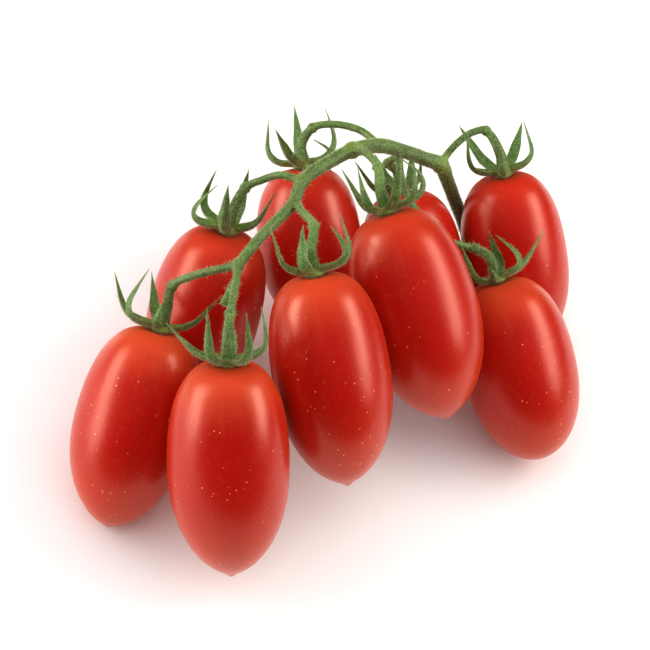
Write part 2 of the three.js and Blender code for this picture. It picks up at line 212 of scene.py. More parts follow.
def fruit_surface(fruit, rows, columns):
    """A fruit as rows from its tip to its stem end, closest together at the two ends.

    With t the share of the length from the stem end and W the widest place, the radius is
    R (1 - ((W - t) / W)^2.2)^(1 / 3.2) above W and R (1 - ((t - W) / (1 - W))^2.25)^blunt below it.
    At a radius r, exp(-(r / spread)^2) sinks the dimple and (1 + (r / spread)^2)^-1.5 pushes out the
    knob at the tip. The middle bows by 4 t (1 - t). The section is a circle that waves of two and
    three lobes pull out of round by one part in a hundred, with five lobes more at the stem end.
    """
    upper = np.linspace(0.02, 1, rows) ** 2.6 * WIDEST
    lower = 1 - (1 - WIDEST) * np.linspace(1, 0.012, rows) ** 1.9
    t = np.concatenate([upper[:-1], lower])[::-1]
    above = np.clip(1 - np.clip((WIDEST - t) / WIDEST, 0, 1) ** 2.2, 0, 1) ** (1 / 3.2)
    below = np.clip(1 - np.clip((t - WIDEST) / (1 - WIDEST), 0, 1) ** 2.25, 0, 1) ** fruit["blunt"]
    radius = fruit["radius"] * np.where(t < WIDEST, above, below)
    length = fruit["length"] - fruit["knob"]
    height = -length * t
    height -= np.where(t < WIDEST, DIMPLE_DEPTH * np.exp(-(radius / DIMPLE_SPREAD) ** 2), 0)
    height -= np.where(t > WIDEST, fruit["knob"] * (1 + (radius / KNOB_SPREAD) ** 2) ** -1.5, 0)
    angle = np.linspace(0, 2 * np.pi, columns, endpoint=False)
    seed = FRUITS.index(fruit)
    waves = (0.006 * np.cos(2 * angle + seed)[None, :] + 0.004 * np.cos(3 * angle + 2.1 * seed)[None, :]
             + 0.008 * np.cos(5 * angle + 1.3 * seed)[None, :] * np.exp(-(t / 0.10) ** 2)[:, None])
    rho = radius[:, None] * (SLIMMER + waves)
    bow = fruit["bow"] * 4 * t * (1 - t)
    points = np.stack([rho * np.cos(angle) + bow[:, None], rho * np.sin(angle),
                       np.broadcast_to(height[:, None], rho.shape)], axis=-1)
    skin = np.stack([np.broadcast_to(np.cos(angle), rho.shape), np.broadcast_to(np.sin(angle), rho.shape),
                     np.broadcast_to(t[:, None], rho.shape)], axis=-1)
    ends = np.array([[0, 0, -fruit["length"]], [0, 0, -DIMPLE_DEPTH]])
    return points, ends, skin


def place_shift():
    """How far the turned truss is moved, in mm: the mean offset between the frame's fruits and these."""
    offsets = []
    for number, fruit in enumerate(FRUITS, 1):
        points, _, _ = fruit_surface(fruit, 40, 60)
        turned = (from_fruit(fruit, points) @ TURN.T).reshape(-1, 3)
        low, high = (np.array(corner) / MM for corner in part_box(f"tomato_{number}"))
        offsets.append((low + high) / 2 - (turned.min(0) + turned.max(0)) / 2)
    return np.mean(offsets, axis=0)


SHIFT = place_shift()


def to_frame(points):
    """Seen points in mm become frame points in metres."""
    return (points @ TURN.T + SHIFT) * MM


def placed(fruit, *parts):
    """Points in the fruit's own frame, in mm, become frame points in metres."""
    return [to_frame(from_fruit(fruit, part)) for part in parts]


# Building meshes from grids
class Shells:
    """Collects closed surfaces, each a grid of rows that run round a line, into one mesh."""

    def __init__(self):
        self.points, self.quads, self.triangles, self.values, self.count = [], [], [], {}, 0

    def add(self, rows, start, end, **values):
        """Rows (n, m, 3) run counter-clockwise about their direction; start and end are the poles."""
        n, m = rows.shape[:2]
        i, j = np.meshgrid(np.arange(n - 1), np.arange(m), indexing="ij")
        k = (j + 1) % m
        quads = np.stack([i * m + j, i * m + k, (i + 1) * m + k, (i + 1) * m + j], axis=-1).reshape(-1, 4)
        j = np.arange(m)
        k = (j + 1) % m
        first = np.stack([np.full(m, n * m), k, j], axis=-1)
        last = np.stack([np.full(m, n * m + 1), (n - 1) * m + j, (n - 1) * m + k], axis=-1)
        self.points.append(np.concatenate([rows.reshape(-1, 3), [start], [end]]))
        self.quads.append(quads + self.count)
        self.triangles.append(np.concatenate([first, last]) + self.count)
        for name, value in values.items():
            flat = value.reshape(n * m, -1)
            poles = np.stack([value[0].reshape(m, -1).mean(0), value[-1].reshape(m, -1).mean(0)])
            self.values.setdefault(name, []).append(np.concatenate([flat, poles]))
        self.count += n * m + 2

    def mesh(self, name):
        """One mesh of all the shells, smooth, with their values as point attributes."""
        mesh = bpy.data.meshes.new(name)
        fill_mesh(mesh, np.concatenate(self.points), np.concatenate(self.quads),
                  np.concatenate(self.triangles))
        for key, blocks in self.values.items():
            write_value(mesh, key, np.concatenate(blocks))
        return mesh


def fill_mesh(mesh, points, quads, triangles):
    """Puts points, four-sided and three-sided faces into an empty mesh as whole arrays."""
    loops = np.concatenate([quads.ravel(), triangles.ravel()]).astype(np.int32)
    totals = np.concatenate([np.full(len(quads), 4), np.full(len(triangles), 3)]).astype(np.int32)
    starts = np.concatenate([[0], np.cumsum(totals)[:-1]]).astype(np.int32)
    mesh.vertices.add(len(points))
    mesh.vertices.foreach_set("co", points.astype(np.float32).ravel())
    mesh.loops.add(len(loops))
    mesh.loops.foreach_set("vertex_index", loops)
    mesh.polygons.add(len(totals))
    mesh.polygons.foreach_set("loop_start", starts)
    mesh.polygons.foreach_set("use_smooth", np.ones(len(totals), dtype=bool))
    mesh.update(calc_edges=True)
    mesh.validate()


def write_value(mesh, name, values):
    """Stores one number or one vector a point under a name that a material reads."""
    vector = values.shape[-1] == 3
    layer = mesh.attributes.new(name, "FLOAT_VECTOR" if vector else "FLOAT", "POINT")
    layer.data.foreach_set("vector" if vector else "value", values.astype(np.float32).ravel())


def read_points(mesh):
    """The mesh's points as an array."""
    points = np.empty(len(mesh.vertices) * 3, dtype=np.float32)
    mesh.vertices.foreach_get("co", points)
    return points.reshape(-1, 3).astype(float)


def add_piece(name, mesh, material, replaced):
    """Adds an object at the origin that rides on the truss and may stand for a solid."""
    piece = bpy.data.objects.new(name, mesh)
    bpy.context.collection.objects.link(piece)
    mesh.materials.append(material)
    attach(piece, "root")
    if replaced:
        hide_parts(replaced)


# Curves and the surfaces that follow them
def unit(vectors):
    """Vectors at length one."""
    return vectors / np.linalg.norm(vectors, axis=-1, keepdims=True)


def route(points, step):
    """A centripetal Catmull-Rom curve through the points, sampled evenly every step or so.

    Between two points it is the cubic whose end slopes come from the neighbours, each weighed by the
    square root of its distance.
    """
    p = np.array(points, dtype=float)
    p = np.vstack([2 * p[0] - p[1], p, 2 * p[-1] - p[-2]])
    gap = np.sqrt(np.linalg.norm(np.diff(p, axis=0), axis=1))
    a, b, c, d = p[:-3], p[1:-2], p[2:-1], p[3:]
    g0, g1, g2 = (gap[k:len(gap) - 2 + k, None] for k in range(3))
    m1 = ((b - a) / g0 - (c - a) / (g0 + g1) + (c - b) / g1) * g1
    m2 = ((c - b) / g1 - (d - b) / (g1 + g2) + (d - c) / g2) * g1
    w = np.linspace(0, 1, 24, endpoint=False)[:, None, None]
    curve = ((2 * w**3 - 3 * w**2 + 1) * b + (w**3 - 2 * w**2 + w) * m1
             + (3 * w**2 - 2 * w**3) * c + (w**3 - w**2) * m2)
    curve = np.vstack([curve.transpose(1, 0, 2).reshape(-1, 3), p[-2:-1]])
    reach = np.concatenate([[0], np.cumsum(np.linalg.norm(np.diff(curve, axis=0), axis=1))])
    at = np.linspace(0, reach[-1], max(4, int(reach[-1] / step)) + 1)
    return np.stack([np.interp(at, reach, curve[:, k]) for k in range(3)], axis=1), at


def circles(first, second, angle):
    """The points first cos a + second sin a, for each pair of directions and each angle a."""
    return first[:, None] * np.cos(angle)[None, :, None] + second[:, None] * np.sin(angle)[None, :, None]


def tube(line, radii, sides, ribs):
    """Rings round a line, each square to it, their radius R (1 + ribs cos 5 a) at an angle a."""
    along = unit(np.gradient(line, axis=0))
    spare = np.eye(3)[np.abs(along).max(0).argmin()]
    first = unit(np.cross(spare, along))
    second = np.cross(along, first)
    angle = np.linspace(0, 2 * np.pi, sides, endpoint=False)
    radii = radii[:, None] * (1 + ribs[:, None] * np.cos(5 * angle))
    return line[:, None] + circles(first, second, angle) * radii[..., None]


def ball(place, radius):
    """Rings of a ball from its far to its near side: radius R sin a, height -R cos a, a from 0 to pi."""
    rise = np.linspace(0.03, 0.97, BALL_ROWS) * np.pi
    angle = np.linspace(0, 2 * np.pi, BALL_SIDES, endpoint=False)
    line = np.stack([0 * rise, 0 * rise, -np.cos(rise)], axis=1) * radius + np.array(place)
    ring = np.stack([np.cos(angle), np.sin(angle), 0 * angle], axis=-1)
    return line[:, None] + ring[None] * (np.sin(rise) * radius)[:, None, None]


def sepal_blade(sepal, width, thickness, wander):
    """A sepal as a closed blade in the fruit's frame.

    Its middle is walked from the boss in even steps along a slope that goes from the first to the last
    as 3 w^2 - 2 w^3, with w from 0 to 1 over the bend. Its section is a flat oval whose edges rise as
    |cos phi|^1.5 from a midrib below. Its width is W (1 - v)^1.25 (1 + 1.9 v) at a share v of its
    length, less where it is short, and wavers by one part in twenty. It sways to the side by
    v^2 - 0.55 v^4 and turns about its own line by v^1.5.
    """
    around, length, rise, curl, bend = sepal
    sway, twist = wander
    angle = math.radians(around)
    out = np.array([math.cos(angle), math.sin(angle), 0])
    across = np.array([-out[1], out[0], 0])
    up = np.array([0, 0, 1])
    v = np.linspace(0, 1, 41)[:, None]
    w = np.clip(((v[1:] + v[:-1]) / 2 - bend) / BEND_SPREAD + 0.5, 0, 1)
    slope = np.radians(rise + (curl - rise) * w * w * (3 - 2 * w))
    walk = np.cumsum(out * np.cos(slope) + up * np.sin(slope), axis=0) * length / len(slope)
    line = np.vstack([np.zeros((1, 3)), walk]) + out * SEPAL_ROOT + up * SEPAL_HEIGHT
    line = line + across * sway * length * (v**2 - 0.55 * v**4)
    along = unit(np.gradient(line, axis=0))
    side = unit(across - along * (along @ across)[:, None])
    inner = np.cross(along, side)
    turn = twist * v**1.5
    first = side * np.cos(turn) + inner * np.sin(turn)
    second = inner * np.cos(turn) - side * np.sin(turn)
    width = width * (0.4 + 0.6 * min(1, length / FULL_LENGTH))
    half = width / 2 * (1 - v) ** 1.25 * (1 + 1.9 * v) + 0.07
    half = half * (1 + 0.05 * np.sin(17 * v + 3 * around))
    phi = np.linspace(0, 2 * np.pi, 20, endpoint=False)[None, :]
    x = half * np.cos(phi)
    body = thickness / 2 * (1 - 0.75 * v) * np.sin(phi) * (1 - 0.6 * np.cos(phi) ** 2)
    channel = 0.62 * half * np.abs(np.cos(phi)) ** 1.5 * (1 - 0.4 * v)
    rib = -0.22 * (1 - v) * np.exp(-(np.cos(phi) / 0.22) ** 2) * (np.sin(phi) < 0)
    y = body + channel + rib
    rows = line[:, None] + first[:, None] * x[..., None] + second[:, None] * y[..., None]
    # 1 at the blade's edges across it: the mask for the sheen painted there
    edge = np.broadcast_to(np.abs(np.cos(phi)), x.shape)
    reach = np.broadcast_to(v, x.shape)
    return rows, line[0], line[-1] + along[-1] * 0.15, edge, reach


def boss_surface(sides):
    """The calyx's middle, a low dome with five faint lobes: radius R cos(a)^0.7, height rising as sin a."""
    a = np.linspace(-0.42, 0.5, 16) * np.pi
    rho = BOSS_RADIUS * np.cos(a).clip(0.02) ** 0.7
    z = BOSS_MIDDLE + np.where(a < 0, 1.0, BOSS_TOP - BOSS_MIDDLE) * np.sin(a)
    angle = np.linspace(0, 2 * np.pi, sides, endpoint=False)
    lobes = 1 + 0.05 * np.cos(5 * angle)
    rows = np.stack([rho[:, None] * np.cos(angle) * lobes, rho[:, None] * np.sin(angle) * lobes,
                     np.broadcast_to(z[:, None], (len(a), sides))], axis=-1)
    return rows, np.array([0, 0, z[0]]), np.array([0, 0, z[-1]])


def pedicel_line(number):
    """The pedicel's line, radii and ribs.

    It is thin to the knuckle and from there swells to its foot with the square of the distance. Bell
    curves exp(-(d / spread)^2) add the knuckle and the flare at its root and take off the groove.
    """
    fruit = FRUITS[number]
    before = PEDICELS[number]
    ends = from_fruit(fruit, np.array([[0, 0, BOSS_TOP + FOOT_LENGTH], [0, 0, BOSS_TOP - FOOT_DEPTH]]))
    line, at = route([*before, *ends], STEM_STEP)
    knuckle = at[np.linalg.norm(line - np.array(before[-1]), axis=1).argmin()]
    past = np.clip((at - knuckle) / (at[-1] - knuckle), 0, 1)
    radii = np.where(at < knuckle, PEDICEL_RADIUS, SWELL_RADIUS + (FOOT_RADIUS - SWELL_RADIUS) * past**2)
    radii = radii + (KNUCKLE_RADIUS - SWELL_RADIUS) * np.exp(-((at - knuckle) / KNUCKLE_SPREAD) ** 2)
    radii = radii - GROOVE_DEPTH * np.exp(-((at - knuckle - GROOVE_PLACE) / GROOVE_SPREAD) ** 2)
    radii = radii + FLARE_HEIGHT * np.exp(-(at / FLARE_SPREAD) ** 2)
    ribs = PEDICEL_RIBS * np.where(at > knuckle + GROOVE_PLACE, 1, 0.3)
    return line, radii, ribs


def stem_shells():
    """The rachis, the pedicels, the stub with its capped end and the swellings at the nodes, overlapping."""
    shells = Shells()
    line, at = route(RACHIS, STEM_STEP)
    places = [at[np.linalg.norm(line - np.array(p), axis=1).argmin()] for p in RACHIS]
    limbs = [(line, np.interp(at, places, RACHIS_RADII), np.full(len(line), RACHIS_RIBS))]
    limbs += [pedicel_line(number) for number in range(len(FRUITS))]
    line, at = route(STUB, STUB_STEP)
    cap = STUB_CAP * np.exp(-((at - at[-1]) / CAP_SPREAD) ** 2)
    limbs.append((line, STUB_RADIUS * (1 + cap), np.full(len(line), STUB_RIBS)))
    surfaces = [tube(line, radii, STEM_SIDES, ribs) for line, radii, ribs in limbs]
    surfaces += [ball(place, radius) for place, radius, _ in NODES]
    for surface in surfaces:
        rows = to_frame(surface)
        shells.add(rows, rows[0].mean(0), rows[-1].mean(0))
    return shells


def grown_together(mesh, voxel, smoothing):
    """One skin over overlapping shells: a voxel remesh, then smoothing, applied to a new mesh."""
    helper = bpy.data.objects.new("grown", mesh)
    bpy.context.collection.objects.link(helper)
    remesh = helper.modifiers.new("skin", "REMESH")
    remesh.mode, remesh.voxel_size, remesh.use_smooth_shade = "VOXEL", voxel * MM, True
    smooth = helper.modifiers.new("smooth", "SMOOTH")
    smooth.factor, smooth.iterations = 0.5, smoothing
    result = bpy.data.meshes.new_from_object(helper.evaluated_get(bpy.context.evaluated_depsgraph_get()))
    bpy.data.objects.remove(helper)
    bpy.data.meshes.remove(mesh)
    result.polygons.foreach_set("use_smooth", np.ones(len(result.polygons), dtype=bool))
    return result


# Down: fine hairs that stand on a mesh
def surface_samples(mesh, count, rng):
    """Points spread evenly over a mesh, and the normals there."""
    mesh.calc_loop_triangles()
    corners = np.empty(len(mesh.loop_triangles) * 3, dtype=np.int32)
    mesh.loop_triangles.foreach_get("vertices", corners)
    corners = corners.reshape(-1, 3)
    points = read_points(mesh)
    a, b, c = (points[corners[:, k]] for k in range(3))
    cross = np.cross(b - a, c - a)
    share = np.linalg.norm(cross, axis=1)
    chosen = rng.choice(len(corners), size=count, p=share / share.sum())
    u, v = rng.random((2, count, 1))
    over = u + v > 1
    u, v = np.where(over, 1 - u, u), np.where(over, 1 - v, v)
    place = a[chosen] + (b - a)[chosen] * u + (c - a)[chosen] * v
    return place, unit(cross[chosen])


def hair_mesh(name, surface, count, limits, radius, rng):
    """Three-sided hairs that stand on a surface, taper to a point and lean and bend their own way.

    A hair leans from the normal by a random step, runs straight to its turn, a little past halfway, and
    bends there by another. Its radius is R at the root, 0.7 R at the turn and nothing at the tip. Its
    length lies between the limits, in mm.
    """
    roots, normals = surface_samples(surface, count, rng)
    lengths = rng.uniform(*limits, count) * MM
    lean = unit(normals + HAIR_LEAN * unit(rng.normal(size=(count, 3))))
    bent = unit(lean + HAIR_BEND * rng.normal(size=(count, 3)))
    first = unit(np.cross(lean, rng.normal(size=(count, 3))))
    second = np.cross(lean, first)
    middle = roots + lean * lengths[:, None] * HAIR_TURN
    tips = middle + bent * lengths[:, None] * (1 - HAIR_TURN)
    ring = circles(first, second, np.array([0, 2, 4]) * math.pi / 3)
    base = (roots - normals * HAIR_SINK * MM)[:, None] + ring * radius * MM
    waist = middle[:, None] + ring * radius * 0.7 * MM
    points = np.concatenate([base, waist, tips[:, None]], axis=1).reshape(-1, 3)
    start = np.arange(count)[:, None, None] * 7
    quads = (start + np.array([[0, 1, 4, 3], [1, 2, 5, 4], [2, 0, 3, 5]])[None]).reshape(-1, 4)
    triangles = (start + np.array([[3, 4, 6], [4, 5, 6], [5, 3, 6], [2, 1, 0]])[None]).reshape(-1, 3)
    mesh = bpy.data.meshes.new(name)
    fill_mesh(mesh, points, quads, triangles)
    return mesh


# Materials
class Wire:
    """An output socket of a node. Sums and products of wires and numbers add Math nodes."""

    def __init__(self, look, socket):
        self.look, self.socket = look, socket

    def __add__(self, other):
        return self.look.maths("ADD", self, other)

    def __sub__(self, other):
        return self.look.maths("SUBTRACT", self, other)

    def __rsub__(self, other):
        return self.look.maths("SUBTRACT", other, self)

    def __mul__(self, other):
        return self.look.maths("MULTIPLY", self, other)

    __radd__ = __add__
    __rmul__ = __mul__


class Look:
    """A material in the making."""

    def __init__(self, name):
        self.material = bpy.data.materials.new(name)
        self.material.use_nodes = True
        self.tree = self.material.node_tree
        self.surface = self.tree.nodes["Principled BSDF"]

    def node(self, kind, settings=None, sockets=None, output=0):
        """Adds a node, sets its settings, then its sockets from values or wires; gives one output."""
        node = self.tree.nodes.new(kind)
        for key, value in (settings or {}).items():
            setattr(node, key, value)
        for key, value in (sockets or {}).items():
            self.put(node.inputs[key], value)
        return Wire(self, node.outputs[output])

    def put(self, socket, value):
        """Links a wire to a socket, or sets the socket's value."""
        if isinstance(value, Wire):
            self.tree.links.new(value.socket, socket)
        elif isinstance(value, tuple) and len(value) == 3 and socket.type == "RGBA":
            socket.default_value = (*value, 1)
        else:
            socket.default_value = value

    def maths(self, operation, a, b):
        """A Math node on wires or numbers."""
        return self.node("ShaderNodeMath", {"operation": operation}, {0: a, 1: b})

    def attribute(self, name, output="Fac"):
        """A value stored on the mesh."""
        return self.node("ShaderNodeAttribute", {"attribute_name": name}, output=output)

    def place(self):
        """Object coordinates."""
        return self.node("ShaderNodeTexCoord", output="Object")

    def stretched(self, vector, scale):
        """A vector scaled along each axis."""
        return self.node("ShaderNodeVectorMath", {"operation": "MULTIPLY"}, {0: vector, 1: scale})

    def noise(self, vector, scale, detail=2.0, rough=0.5):
        """Cloudy values about one half."""
        return self.node("ShaderNodeTexNoise", {}, {"Vector": vector, "Scale": scale, "Detail": detail,
                                                    "Roughness": rough})

    def cells(self, vector, scale, output):
        """The distance to the nearest point of a random scatter, or that point's own random colour."""
        return self.node("ShaderNodeTexVoronoi", {"feature": "F1"}, {"Vector": vector, "Scale": scale},
                         output)

    def fuzz(self, place):
        """A fine stipple, 1 where down catches the light."""
        return self.ramp(self.noise(place, 2300.0, 1.0), 0.5, 0.66)

    def ramp(self, value, low, high):
        """0 below low, 1 above high, smooth between them."""
        return self.node("ShaderNodeMapRange", {"interpolation_type": "SMOOTHSTEP"},
                         {"Value": value, "From Min": low, "From Max": high})

    def mix(self, factor, a, b):
        """A colour between a and b."""
        return self.node("ShaderNodeMix", {"data_type": "RGBA"}, {0: factor, 6: a, 7: b}, output=2)

    def bump(self, height, strength, distance):
        """A normal tilted by a height."""
        return self.node("ShaderNodeBump", {}, {"Height": height, "Strength": strength,
                                                "Distance": distance})

    def finish(self, **sockets):
        """Sets the shader's sockets and gives the material."""
        for key, value in sockets.items():
            self.put(self.surface.inputs[key.replace("_", " ")], value)
        return self.material


def fruit_skin(settings):
    """Ripe skin: red in soft clouds, orange round the stem end with faint streaks, lighter and more orange
    toward the tip where a reflection of the pale floor is painted in, with a fine mottle, pale specks in
    patches and a brown scar at the very tip."""
    look = Look("ripe_skin")
    skin = look.attribute("skin", "Vector")
    down = look.node("ShaderNodeSeparateXYZ", {}, {0: skin}, output="Z")
    place = look.place()
    streaks = look.noise(look.stretched(skin, (7.0, 7.0, 2.2)), 1.6, 4.0, 0.6)
    clouds = look.noise(place, 55.0, 2.0)
    shoulder = 1 - look.ramp(down + (streaks - 0.5) * 0.16, 0.02, 0.26)
    # A painted reflection of the pale floor: the skin turns lighter and more orange toward the tip
    low = look.ramp(down + (clouds - 0.5) * 0.3, 0.55, 1.05)
    colour = look.mix(shoulder * look.attribute("orange"), tuple(settings.red), tuple(settings.shoulder))
    colour = look.mix(low * 0.7, colour, tuple(settings.low))
    colour = look.mix((clouds - 0.35) * 0.8, colour, tuple(settings.deep))
    mottle = look.noise(place, 650.0, 3.0, 0.65)
    colour = look.mix(look.ramp(mottle, 0.5, 0.75) * 0.22, colour, tuple(settings.shoulder))
    chance = look.node("ShaderNodeSeparateColor", {}, {0: look.cells(place, 560.0, "Color")})
    dots = 1 - look.ramp(look.cells(place, 560.0, "Distance"), 0.08, 0.13)
    patch = look.ramp(look.noise(place, 75.0, 1.0), 0.42, 0.55)
    speck = dots * look.ramp(chance, 0.15, 0.9) * patch * look.ramp(down, 0.06, 0.3)
    colour = look.mix(speck * 0.95, colour, tuple(settings.speck))
    colour = look.mix(look.ramp(down, 0.9965, 0.9995) * 0.8, colour, TIP_SCAR)
    pores = look.noise(place, 900.0, 2.0, 0.6)
    swell = look.noise(place, 90.0, 1.0)
    tilt = look.bump(pores * 0.25 + swell * 1.2 + speck + streaks * 0.5, 0.25, 0.0001)
    # The skin is dull close to the calyx and waxy past it
    waxy = look.ramp(down, 0.015, 0.09)
    rough = 0.6 - waxy * 0.3 + look.noise(place, 160.0, 2.0) * 0.08 + speck * 0.15
    return look.finish(Base_Color=colour, Roughness=rough, Normal=tilt, Coat_Weight=waxy * 0.55,
                       Coat_Roughness=0.25, Specular_Tint=(1.0, 0.66, 0.44, 1), Subsurface_Weight=0.06,
                       Subsurface_Radius=(1.0, 0.25, 0.1), Subsurface_Scale=0.002, IOR=1.5, **WAXY_SHEEN)


def stem_skin(settings):
    """Downy green skin for the stem: mottled and stippled, yellow-green at the nodes, brown at the cut
    end."""
    green = np.array(settings.stem)
    look = Look("stem_green")
    place = look.place()
    mottle = look.noise(place, 320.0, 3.0, 0.6)
    broad = look.noise(place, 60.0, 2.0)
    shade = look.mix(look.ramp(mottle, 0.35, 0.7), tuple(green * 0.55), tuple(green))
    shade = look.mix(look.ramp(broad, 0.4, 0.75) * 0.6, shade, tuple(green * 1.5))
    shade = look.mix(look.attribute("node") * 0.75, shade, NODE_YELLOW)
    shade = look.mix(look.attribute("woody") * look.ramp(mottle, 0.2, 0.7), shade, CUT_WOOD)
    shade = look.mix(look.fuzz(place) * 0.4, shade, FUZZ)
    grain = look.noise(place, 1500.0, 2.0, 0.6)
    tilt = look.bump(grain + mottle * 2.0, 0.5, 0.00012)
    return look.finish(Base_Color=shade, Roughness=0.5 + grain * 0.15, Normal=tilt, **DOWNY_SHEEN)


def sepal_skin(settings):
    """Sepals: mottled green with a stipple, a painted sheen of the down along the edges, yellower at
    the root, tan at the very tips."""
    look = Look("sepal_green")
    place = look.place()
    reach = look.attribute("reach")
    mottle = look.noise(place, 380.0, 3.0, 0.6)
    shade = look.mix(look.ramp(mottle, 0.3, 0.7), tuple(settings.dark), tuple(settings.green))
    shade = look.mix(look.fuzz(place) * 0.35, shade, FUZZ)
    # A painted sheen: the down catching the light along the sepals' edges
    shade = look.mix(look.ramp(look.attribute("edge"), 0.84, 1.0) * 0.5, shade, tuple(settings.edge))
    shade = look.mix((1 - look.ramp(reach, 0.0, 0.3)) * 0.7, shade, tuple(settings.root))
    shade = look.mix(look.ramp(reach, 0.9, 1.0) * 0.6, shade, SEPAL_TIP)
    veins = look.noise(place, 1300.0, 2.0, 0.6)
    tilt = look.bump(veins + mottle * 1.5, 0.5, 0.00012)
    return look.finish(Base_Color=shade, Roughness=0.5 + veins * 0.15, Normal=tilt, **DOWNY_SHEEN)


def down_hair():
    """Pale hairs, some greener than others."""
    look = Look("pale_down")
    tone = look.noise(look.place(), 200.0)
    return look.finish(Base_Color=look.mix(tone, DEEP_HAIR, PALE_HAIR), Roughness=0.45)


def floor_finish():
    """A matt pale floor with the faintest cloud."""
    look = Look("pale_floor")
    cloud = look.noise(look.place(), 3.0)
    return look.finish(Base_Color=look.mix(cloud, DEEP_FLOOR, PALE_FLOOR), Roughness=0.9)


# Settings, operators and panel
def colour_property(name, description, default):
    """A colour that a user may change."""
    return bpy.props.FloatVectorProperty(name=name, description=description, subtype="COLOR", size=3,
                                         min=0, max=1, default=default)


class FruitSettings(bpy.types.PropertyGroup):
    """How the fruits are made."""

    rows: bpy.props.IntProperty(name="Rows", description="Rows in each half of a fruit", default=48, min=12)
    columns: bpy.props.IntProperty(name="Columns", description="Columns round a fruit", default=88, min=16)
    red: colour_property("Red", "Ripe skin", (0.52, 0.005, 0.001))
    deep: colour_property("Deep red", "Ripe skin in its darker clouds", (0.43, 0.002, 0.001))
    shoulder: colour_property("Shoulder", "Skin round the stem end", (0.66, 0.085, 0.026))
    # The colour of the floor's painted reflection on the skin toward the tip
    low: colour_property("Low", "Skin toward the tip", (0.66, 0.06, 0.012))
    speck: colour_property("Speck", "Pale specks", (1.0, 0.62, 0.26))


class GreenSettings(bpy.types.PropertyGroup):
    """How the sepals and the stem are made."""

    width: bpy.props.FloatProperty(name="Sepal width", description="Width of a sepal at its root, in mm",
                                   default=3.7, min=0.5)
    thickness: bpy.props.FloatProperty(name="Sepal thickness", description="Thickness at its root, in mm",
                                       default=0.9, min=0.2)
    voxel: bpy.props.FloatProperty(name="Stem detail", description="Grain of the stem's skin, in mm",
                                   default=0.26, min=0.1)
    green: colour_property("Sepal", "Sepals", (0.13, 0.245, 0.045))
    dark: colour_property("Dark", "Sepals in their darker spots", (0.065, 0.135, 0.03))
    # The colour of the painted sheen along the sepals' edges
    edge: colour_property("Edge", "Edges of the sepals", (0.40, 0.47, 0.17))
    root: colour_property("Root", "Roots of the sepals", (0.27, 0.34, 0.05))
    stem: colour_property("Stem", "The stem", (0.125, 0.215, 0.045))


class DownSettings(bpy.types.PropertyGroup):
    """How many hairs there are."""

    stem_hairs: bpy.props.IntProperty(name="Stem hairs", description="Short hairs on the stem",
                                      default=9000, min=0)
    long_hairs: bpy.props.IntProperty(name="Long hairs", description="Long hairs on the stem",
                                      default=2000, min=0)
    sepal_hairs: bpy.props.IntProperty(name="Sepal hairs", description="Hairs on each calyx",
                                       default=2000, min=0)


class TRUSS_OT_fruits(bpy.types.Operator):
    """Makes the nine fruits' skins"""

    bl_idname = "truss.fruits"
    bl_label = "Make fruits"

    def execute(self, context):
        settings = context.scene.truss_fruits
        material = fruit_skin(settings)
        for number, (fruit, orange) in enumerate(zip(FRUITS, STEM_END_ORANGE), 1):
            points, ends, skin = fruit_surface(fruit, settings.rows, settings.columns)
            rows, poles = placed(fruit, points, ends)
            rows[..., 2] = np.maximum(rows[..., 2], 0)      # it lies flat on what carries it
            shells = Shells()
            shells.add(rows, *poles, skin=skin, orange=np.full(rows.shape[:2], orange))
            add_piece(f"fruit_{number}", shells.mesh(f"fruit_{number}"), material, f"tomato_{number}")
        return {"FINISHED"}


class TRUSS_OT_calyces(bpy.types.Operator):
    """Makes the star of sepals on each fruit"""

    bl_idname = "truss.calyces"
    bl_label = "Make calyces"

    def execute(self, context):
        settings = context.scene.truss_greens
        material = sepal_skin(settings)
        rng = np.random.default_rng(SEPAL_SEED)
        for number, fruit in enumerate(FRUITS, 1):
            shells = Shells()
            boss = boss_surface(BOSS_SIDES)
            flat = np.zeros(boss[0].shape[:2])
            shells.add(*placed(fruit, *boss), edge=flat, reach=flat)
            for sepal in fruit["sepals"]:
                wander = rng.uniform(-MOST_SWAY, MOST_SWAY), rng.uniform(-MOST_TWIST, MOST_TWIST)
                *blade, edge, reach = sepal_blade(sepal, settings.width, settings.thickness, wander)
                shells.add(*placed(fruit, *blade), edge=edge, reach=reach)
            add_piece(f"sepals_{number}", shells.mesh(f"sepals_{number}"), material, f"calyx_{number}")
        return {"FINISHED"}


class TRUSS_OT_stem(bpy.types.Operator):
    """Makes the branched stem as one grown skin"""

    bl_idname = "truss.stem"
    bl_label = "Make stem"

    def execute(self, context):
        settings = context.scene.truss_greens
        mesh = grown_together(stem_shells().mesh("stem_shells"), settings.voxel, STEM_SMOOTHING)
        mesh.name = "stem"
        points = read_points(mesh)
        places = to_frame(np.array([place for place, _, _ in NODES]))
        yellow = np.array([share for _, _, share in NODES])
        near = np.linalg.norm(points[:, None] - places[None], axis=2) / MM
        write_value(mesh, "node", (np.exp(-(near / YELLOW_SPREAD) ** 2) * yellow).max(1)[:, None])
        line = to_frame(np.array(RACHIS[PEDUNCLE_START:]))
        down = (points - line[0]) @ unit(line[-1] - line[0]) / MM
        close = np.linalg.norm(points[:, None] - line[None], axis=2).min(1) / MM
        woody = np.clip((down - WOODY_START) / WOODY_LENGTH, 0, 1) * (close < WOODY_REACH)
        write_value(mesh, "woody", woody[:, None])
        add_piece("stem", mesh, stem_skin(settings), "truss_stem")
        return {"FINISHED"}


